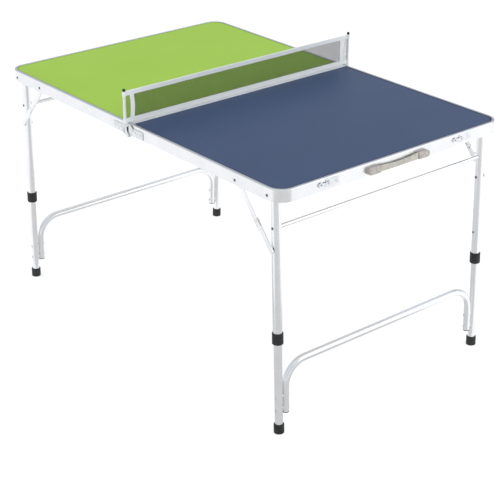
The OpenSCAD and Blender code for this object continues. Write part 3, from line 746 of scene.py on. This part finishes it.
button_z = button_height - pivot_z
button = [(0, 1.2), (3.0, 1.2), (3.0, -0.9), (2.8, -1.6), (2.2, -2.3), (1.3, -2.75), (0, -2.9)]
snap = [turned(np.array(button) * (1, -1) + (0, upper_r - leg_y), (0, 0, button_z), "y", 32)]
# The buttons take the zinc with painted shade.
leg_piece("front_button", snap, zinc_painted_shade)
leg_piece("back_button", flip(snap, "y"), zinc_painted_shade)

# %% [markdown]
# ## Folding braces
#
# A brace is two links in one line. The upper one is folded from strip: a flange with a round end at its rivet, and a
# web along its lower edge that the flat lower link closes against. Both are drawn along X and turned into place.

# %% Braces
pin_x = pivot_x - brace_pin_z * math.sin(math.radians(splay))
pin_z = pivot_z + brace_pin_z * math.cos(math.radians(splay))
open_span = math.hypot(pin_x - brace_x, pivot_z - pin_z)
shut_span = brace_x - (pivot_x + brace_pin_z)
upper_link, lower_link = (open_span + shut_span) / 2, (open_span - shut_span) / 2
brace_angle = math.degrees(math.atan2(pivot_z - pin_z, pin_x - brace_x))
link_r, over = 9.0, 25.0
print("brace", round(brace_angle, 3), "links", round(upper_link, 3), round(lower_link, 3))


def brace_piece(name, parts):
    """A pair of brace parts, drawn along X from the rail's rivet."""
    return at_both_ends(name, turn_about_y(both_sides(parts), brace_angle, (brace_x, 0, pivot_z)), aluminium)


far = upper_link + over
flange_line = np.concatenate([
    arc((0, 0), link_r, 90, 270, 20), eased([(far - 8, -link_r), (far, -link_r), (far, link_r), (far - 8, link_r)], 3.0)
])
flange = plate(flange_line, flange_y, flange_y + 1.5, "y", 0.35)
web = plate(eased([(12, link_face), (far, link_face), (far, flange_y + 1.2), (12, flange_y + 1.2)], [3, 2, 0.2, 0.2]),
            -link_r, -link_r + 1.5, "z", 0.35)
elbow = [turned(rod(2.5, link_face, flange_y + 1.6), (upper_link, 0, 0), "y", 20),
         turned(head(4.0, 1.6), (upper_link, flange_y + 1.5, 0), "y", 28)]
brace_piece("brace_upper", [flange, web] + elbow)

bar_r = link_r - 1.8
bar_line = np.concatenate([arc((upper_link, 0), bar_r, 90, 270), arc((upper_link + lower_link, 0), bar_r, -90, 90)])
bar = plate(bar_line, link_face, link_face + 3, "y", 0.6)
brace_piece("brace_lower", [bar])

# %% [markdown]
# ## Handle
#
# The grip is a bar with straight lower edge and a hollow along its upper edge, so fingers fit between it and the
# rim. Its section is a superellipse, |x/a|^n + |z/b|^n = 1 with n = 3.2, whose height follows the hollow.

# %% Handle grip and its end caps
handle_z, handle_x, grip_half = rim_low + 18.5, half_l + 6.0, 68.2


def grip_surface():
    """P(y, t): a superellipse of half width 4 and half height h(y)/2, where h falls along a shallow arc."""
    y = np.concatenate([[-1, -0.996], np.linspace(-0.985, 0.985, 41), [0.996, 1]]) * grip_half
    hollow = np.maximum(5.0 * (1 - (y / (grip_half - 3)) ** 2), 0)
    low, high = handle_z - 15.0, handle_z + 3.5 - hollow
    t = np.linspace(0, 2 * math.pi, 36, endpoint=False)
    power = 2 / 3.2
    across = np.sign(np.cos(t)) * np.abs(np.cos(t)) ** power
    up = np.sign(np.sin(t)) * np.abs(np.sin(t)) ** power
    shrink = np.where(np.abs(y) > 0.99 * grip_half, 0.93, 1.0)[:, None]
    x = handle_x + 4.0 * shrink * across
    z = ((low + high) / 2)[:, None] + ((high - low) / 2)[:, None] * shrink * up
    return np.stack([x, np.broadcast_to(y[:, None] - 0.8, x.shape), z], -1)


trunnion = turned(rod(2.0, grip_half - 1, grip_half + 6), (handle_x, 0, handle_z), "y", 20)
at_both_ends("handle_grip", [grid(grip_surface())] + both_sides([trunnion]), grip_plastic)

cap_low, cap_h, cap_in, cap_out = rim_low + 3.5, 18.5, 69.5, 108.5
cap_line = np.concatenate([
    [(cap_in, cap_low + 0.6), (cap_in + 0.6, cap_low)],
    arc((cap_out - 6.5, cap_low + 6.5), 6.5, -90, 0, 12),
    arc((cap_out - 7.5, cap_low + cap_h - 7.5), 7.5, 0, 90, 12),
    [(cap_in + 0.6, cap_low + cap_h), (cap_in, cap_low + cap_h - 0.6)],
])
cap = [plate(cap_line, half_l, half_l + 12.0, "x", 1.3, 5)]
at_both_ends("handle_caps", both_sides(cap), cap_plastic)

# %% [markdown]
# ## Latches
#
# Two flat hooks on the blue end rail swing down over studs on the green one, and hold the folded table shut. A hook
# is blanked from sheet: a round eye, a straight shank and a claw with an open mouth.

# %% Hooks, plates and studs
latch_y, latch_z, reach = 240.0, rim_low + 18.0, 27.0


def latch_plate(y0):
    """The plate under one hook, with the hook's pivot rivet and a second rivet."""
    line = eased([(y0 - 10, latch_z - 9), (y0 + 35, latch_z - 9), (y0 + 35, latch_z + 11), (y0 - 10, latch_z + 11)], 3)
    return [
        plate(line, half_l, half_l + 1.5, "x"),
        turned(rod(2.0, half_l + 1, half_l + 4.5), (0, y0, latch_z), "x", 20),
        turned(head(3.6, 1.4), (half_l + 4.4, y0, latch_z), "x", 28),
        turned(head(3.2, 1.4), (half_l + 1.5, y0 + 26, latch_z), "x", 28),
    ]


hook_line = np.concatenate([
    arc((0, 0), 6.0, -138, 138, 24),
    [(-reach + 7.4, 4.0)],
    arc((-reach, 0), 7.0, 40, 240, 24),
    arc((-reach, 0), 3.5, 180, 0, 12),
    [(-reach + 3.5, -4.0)],
])
stand_for("latch_plates", latch_plate(-latch_y) + latch_plate(latch_y), zinc)
for name, y0 in (("front", -latch_y), ("back", latch_y)):
    stand_for(name + "_latch_hook",
              [plate(hook_line + (y0, latch_z), half_l + 1.8, half_l + 4.0, "x", 0.4)], zinc)
catch_z = rim_low + 9.0
studs = []
for y0 in (-latch_y, latch_y):
    line = eased([(y0 - 9, catch_z - 8), (y0 + 9, catch_z - 8), (y0 + 9, catch_z + 10), (y0 - 9, catch_z + 10)], 3)
    studs += [
        plate(line, half_l, half_l + 1.5, "x"),
        turned(rod(3.0, half_l + 1, half_l + 4.5), (0, y0, catch_z), "x", 24),
        turned(head(5.0, 1.4), (half_l + 4.4, y0, catch_z), "x", 28),
    ]
stand_for("latch_catches", flip(studs, "x"), zinc)

# %% [markdown]
# ## Net
#
# Two thin posts stand in sockets on the hinge leaves. Each tape is cloth folded over a cord and sewn along its open
# edge, so its section is a long drop: round where the cord lies and flat at the seam. It closes round the posts.

# %% Posts, caps and sockets
net_y, post_r, net_top, net_foot, tape_h = 411.0, 4.0, 792.0, 700.8, 14.0
post = [turned(rod(post_r, 693.0, net_top, 0.5), (0, net_y, 0), "z", 32)]
stand_for("net_posts", both_sides(post), post_enamel)
cap_profile = [(0, 0), (3.8, 0), (4.3, 0.4), (4.3, 3.6), (4.0, 4.2), (3.7, 4.6), (3.5, 6.0), (2.4, 6.8), (0, 6.8)]
net_cap = [turned(np.array(cap_profile) + (0, net_top), (0, net_y, 0), "z", 32)]
stand_for("net_caps", both_sides(net_cap), black_plastic)
near = half_w + leaf_t + 0.3
socket = [
    plate(eased([(-5.4, near), (5.4, near), (5.4, net_y + 5.4), (-5.4, net_y + 5.4)], [1, 1, 5, 5], 6), 692.0, top,
          "z", 0.8),
    plate(eased([(4, 691), (14, 682), (22, 682), (22, 690), (12, 699), (4, 699)], 1.5), near, near + 1.6, "y"),
    plate(eased([(16, 682), (22, 682), (22, 690), (16, 690)], 1.0), half_w + leaf_t, near, "y", 0.05),
]
stand_for("net_sockets", both_sides(socket), white_plastic)


# %% Tapes with a slight wave, and sleeves round the posts
def tape_wave(y):
    """How far a tape stands out in x: two slow sines that die away at the posts."""
    return (0.45 * np.sin(y / 57.0) + 0.25 * np.sin(y / 23.0 + 1.3)) * (1 - (np.abs(y) / net_y) ** 6)


def tape_surface(low, cord_at):
    """P(y, t): a folded tape's section carried from post to post, waving in x by a fraction of a millimetre."""
    y = np.linspace(-(net_y - 4.8), net_y - 4.8, 121)
    t = np.linspace(0, 2 * math.pi, 24, endpoint=False)
    up = np.sign(np.sin(t)) * np.abs(np.sin(t)) ** 0.8
    z = low + tape_h / 2 + tape_h / 2 * up
    thick = 0.62 + 0.55 * np.exp(-(((z - cord_at) / 2.2) ** 2))
    x = thick * np.sign(np.cos(t)) * np.abs(np.cos(t)) ** 0.5
    wave = tape_wave(y)
    sag = 0.12 * np.sin(y / 31.0)
    return np.stack(np.broadcast_arrays(x + wave[:, None], y[:, None], z + sag[:, None] * 0.5), -1)


sleeve_profile = [(post_r + 0.05, 0.5), (post_r + 0.4, 0), (5.0, 0), (5.2, 0.6), (5.2, 6.8), (5.08, 7.0), (5.2, 7.2),
                  (5.2, 13.4), (5.0, 14), (post_r + 0.4, 14), (post_r + 0.05, 13.5)]


def tape(low, cord_at):
    """A whole tape: the run between the posts and a sleeve round each post."""
    sleeve = turned(np.array(sleeve_profile) + (0, low), (0, net_y, 0), "z", 32, hollow=True)
    return [grid(tape_surface(low, cord_at))] + both_sides([sleeve])


def stitches(y, z, face, along):
    """A row of stitches: each is a small pill on the cloth, 2.2 mm long, and the row repeats it."""
    t = np.linspace(0, 2 * math.pi, 5, endpoint=False)
    shape = np.array([(-1.1, 0.0), (-0.7, 0.2), (0.7, 0.2), (1.1, 0.0)])
    pill = np.stack(np.broadcast_arrays(
        shape[:, 1:2] * np.cos(t), shape[:, :1], shape[:, 1:2] * np.sin(t)
    ), -1)
    if along == "z":
        pill = pill[..., [0, 2, 1]]
    return [grid(pill + np.array(at), caps=False) for at in np.stack(np.broadcast_arrays(face, y, z), 1)]


rows = np.arange(-396.0, 396.1, 4.0)
wave_at = tape_wave(rows)
seams = {
    "top": [(net_top - tape_h + 1.8, s) for s in (-1, 1)],
    "bottom": [(net_foot + tape_h - 1.8, s) for s in (-1, 1)],
}
low_edge = {"top": net_top - tape_h, "bottom": net_foot}
cord_at = {"top": net_top - 3.0, "bottom": net_foot + 3.0}
tapes = [stand_for(f"net_{name}_tape", tape(low_edge[name], cord_at[name]), tape_cloth, weighted=False)
         for name in ("top", "bottom")]
for name in ("top", "bottom"):
    sewn = [part for z, s in seams[name] for part in stitches(rows, z, wave_at + s * 0.62, "y")]
    thread = make(f"net_{name}_stitches", sewn, stitch_yarn)
    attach(thread, "net")
    tapes.append(thread)
    print(thread.name, len(sewn), "stitches")

# %% [markdown]
# The side bands are single tape over the mesh's ends, sewn along both edges. They bow out of flat only a little.

# %% Side bands
mesh_low, mesh_high, band_y = net_foot + tape_h, net_top - tape_h, half_w - 14.0
band_z = np.linspace(mesh_low - 0.3, mesh_high + 0.3, 25)
t = np.linspace(0, 2 * math.pi, 20, endpoint=False)
band_x = 0.75 * np.sign(np.cos(t)) * np.abs(np.cos(t)) ** 0.4
band_across = 7.0 * np.sign(np.sin(t)) * np.abs(np.sin(t)) ** 0.6


def bow(z):
    """How far a side band bows in y between the tapes: -2.2 mm at mid height, nothing at either end."""
    return -2.2 * np.sin((z - mesh_low) / (mesh_high - mesh_low) * math.pi)


bowed = bow(band_z)[:, None]
band = np.stack(np.broadcast_arrays(
    band_x + 0.2 * np.sin((band_z[:, None] - mesh_low) / 21.0), band_y + bowed + band_across, band_z[:, None]
), -1)
bands = stand_for("net_side_bands", both_sides([grid(band)]), tape_cloth, weighted=False)
climb = np.arange(mesh_low + 3, mesh_high - 2, 4.0)
curve = bow(climb)
sewn = [part for y in (band_y - 5.6, band_y + 5.6) for s in (-0.7, 0.7)
        for part in stitches(curve + y, climb, 0.2 * np.sin((climb - mesh_low) / 21.0) + s, "z")]
band_thread = make("net_band_stitches", both_sides(sewn), stitch_yarn)
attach(band_thread, "net")

# %% [markdown]
# The netting is a real lattice and not a see-through sheet: threads every 3 mm, up and across. On a grid of thread
# edges a cell is cloth where either of its numbers is even, and a hole where both are odd. It hangs with a shallow
# ripple, and Solidify gives the threads their thickness. Beyond the side bands the netting is one layer, not two,
# so its threads are drawn thinner there.

# %% Netting
pitch, thread_w, thin_w = 3.0, 1.0, 0.5


def thread_starts(low, high):
    """The lower edges of evenly spaced threads that fill a length exactly."""
    count = int(round((high - low - thread_w) / pitch))
    return np.linspace(low, high - thread_w, count + 1)


net_end = net_y - post_r
across, climbing = thread_starts(-net_end, net_end), thread_starts(mesh_low, mesh_high)
width_at = np.where(np.abs(across) > band_y, thin_w, thread_w)
ys = np.stack([across, across + width_at], 1).ravel()
wide = np.repeat(width_at, 2)[:, None]
zz = np.stack([np.broadcast_to(climbing, (len(ys), len(climbing))), climbing + wide], -1).reshape(len(ys), -1)
yy = np.broadcast_to(ys[:, None], zz.shape)
ripple = 0.5 * np.sin(yy / 41.0 + zz / 60.0) * np.sin((zz - mesh_low) / (mesh_high - mesh_low) * math.pi)
points, faces, uv = grid(np.stack([ripple, yy, zz], -1), wrap_j=False, caps=False)
ci, cj = np.meshgrid(np.arange(len(ys) - 1), np.arange(zz.shape[1] - 1), indexing="ij")
cloth = ((ci % 2 == 0) | (cj % 2 == 0)).ravel()
netting = [(points, [f for f, keep in zip(faces, cloth) if keep], uv.reshape(-1, 4, 2)[cloth].reshape(-1, 2))]
net_mesh = stand_for("net_mesh", netting, net_yarn, weighted=False)
solid = net_mesh.modifiers.new("thread thickness", "SOLIDIFY")
solid.thickness, solid.offset = 0.00035, 0.0

# %% [markdown]
# ## Floor and light
#
# The studio is a pale floor that runs out of sight and glows a little, as a lit table does, so that shadows stay
# faint. The air is white at the horizon and a shade bluer and darker overhead, which the rim's lip picks up. A wide
# lamp behind the right shoulder whitens the level tubes, and a softbox overhead lights the boards.

# %% Floor
floor = bpy.data.objects.new("studio_floor", bpy.data.meshes.new("studio_floor"))
far_off, floor_glow, card_glow = 30.0, 0.67, 0.68
floor.data.from_pydata(
    [(-far_off, -far_off, 0), (far_off, -far_off, 0), (far_off, far_off, 0), (-far_off, far_off, 0)],
    [], [(0, 1, 2, 3)],
)
floor_paint = finish("floor_paint", (0.43, 0.43, 0.43), (0.47, 0.47, 0.47), (0.8, 0.9), ((1, 1, 1), 40.0), 0.0001,
                     patch=1.2, specular=0.1)
glow = floor_paint.node_tree.nodes["Principled BSDF"].inputs
glow["Emission Color"].default_value = (1, 1, 1, 1)
glow["Emission Strength"].default_value = floor_glow
floor.data.materials.append(floor_paint)
bpy.context.scene.collection.objects.link(floor)

# %% [markdown]
# Bright metal is drawn by what it mirrors. Nearest the viewer a studio is dim, so a grey card lies on the floor there.
# Only mirror rays see it: it shades the fronts of the upright tubes and the corner, and nothing else.

# %% Grey card
card = bpy.data.objects.new("grey_card", bpy.data.meshes.new("grey_card"))
card.data.from_pydata(
    [(-0.55, -1.05, 0.003), (0.55, -1.05, 0.003), (0.55, -2.6, 0.003), (2.8, -2.6, 0.003), (2.8, 0.33, 0.003),
     (-0.55, 0.33, 0.003)], [], [(0, 1, 2, 3, 4, 5)],
)
card_paint = bpy.data.materials.new("grey_card")
tree, shader = nodes_of(card_paint)
shader.inputs["Base Color"].default_value = (0, 0, 0, 1)
shader.inputs["Specular IOR Level"].default_value = 0
shader.inputs["Emission Strength"].default_value = card_glow
patchy = noise(tree, tree.nodes.new("ShaderNodeTexCoord").outputs["Object"], (1, 1, 1), 0.8)
tree.links.new(mixed(tree, patchy, (0.95, 0.95, 0.96), (1.0, 1.0, 1.0)), shader.inputs["Emission Color"])
card.data.materials.append(card_paint)
for rays in ("camera", "diffuse", "transmission", "volume_scatter", "shadow"):
    setattr(card, "visible_" + rays, False)
bpy.context.scene.collection.objects.link(card)

# %% World and lamps
world = bpy.data.worlds.new("soft_world")
world.use_nodes = True
bpy.context.scene.world = world
tree = world.node_tree
sky = tree.nodes["Background"]
sky.inputs["Strength"].default_value = 1.0
direction = tree.nodes.new("ShaderNodeTexCoord").outputs["Generated"]
split = tree.nodes.new("ShaderNodeSeparateXYZ")
tree.links.new(direction, split.inputs["Vector"])
ramp = tree.nodes.new("ShaderNodeValToRGB")
for place, colour in ((0.0, (1, 1, 1)), (0.2, (0.96, 0.97, 1.0)), (0.5, (0.66, 0.71, 0.80)), (1.0, (0.6, 0.63, 0.68))):
    stop = ramp.color_ramp.elements.new(place) if 0 < place < 1 else ramp.color_ramp.elements[int(place)]
    stop.color = (*colour, 1)
tree.links.new(split.outputs["Z"], ramp.inputs["Fac"])
tree.links.new(ramp.outputs["Color"], sky.inputs["Color"])


def lamp(name, place, aim, size, power, shine=True):
    """A square lamp at a place, turned to its aim. Without shine it lights cloth and board but isn't mirrored."""
    made = bpy.data.objects.new(name, bpy.data.lights.new(name, "AREA"))
    made.data.size, made.data.energy = size, power
    made.location = place
    made.rotation_mode = "QUATERNION"
    made.rotation_quaternion = (Vector(aim) - Vector(place)).to_track_quat("-Z", "Y")
    made.visible_glossy = shine
    bpy.context.scene.collection.objects.link(made)
    return made


lamp("overhead", (0.0, 0.3, 4.0), (0.0, 0.0, 0.3), 4.5, 32.0, shine=False)
lamp("right_shoulder", (3.4, 2.3, 2.0), (0.0, 0.0, 0.4), 3.0, 30.0)
lamp("left_front", (-1.6, -3.8, 1.7), (0.0, 0.0, 0.6), 2.4, 10.0, shine=False)
bpy.context.scene.view_settings.view_transform = "Standard"
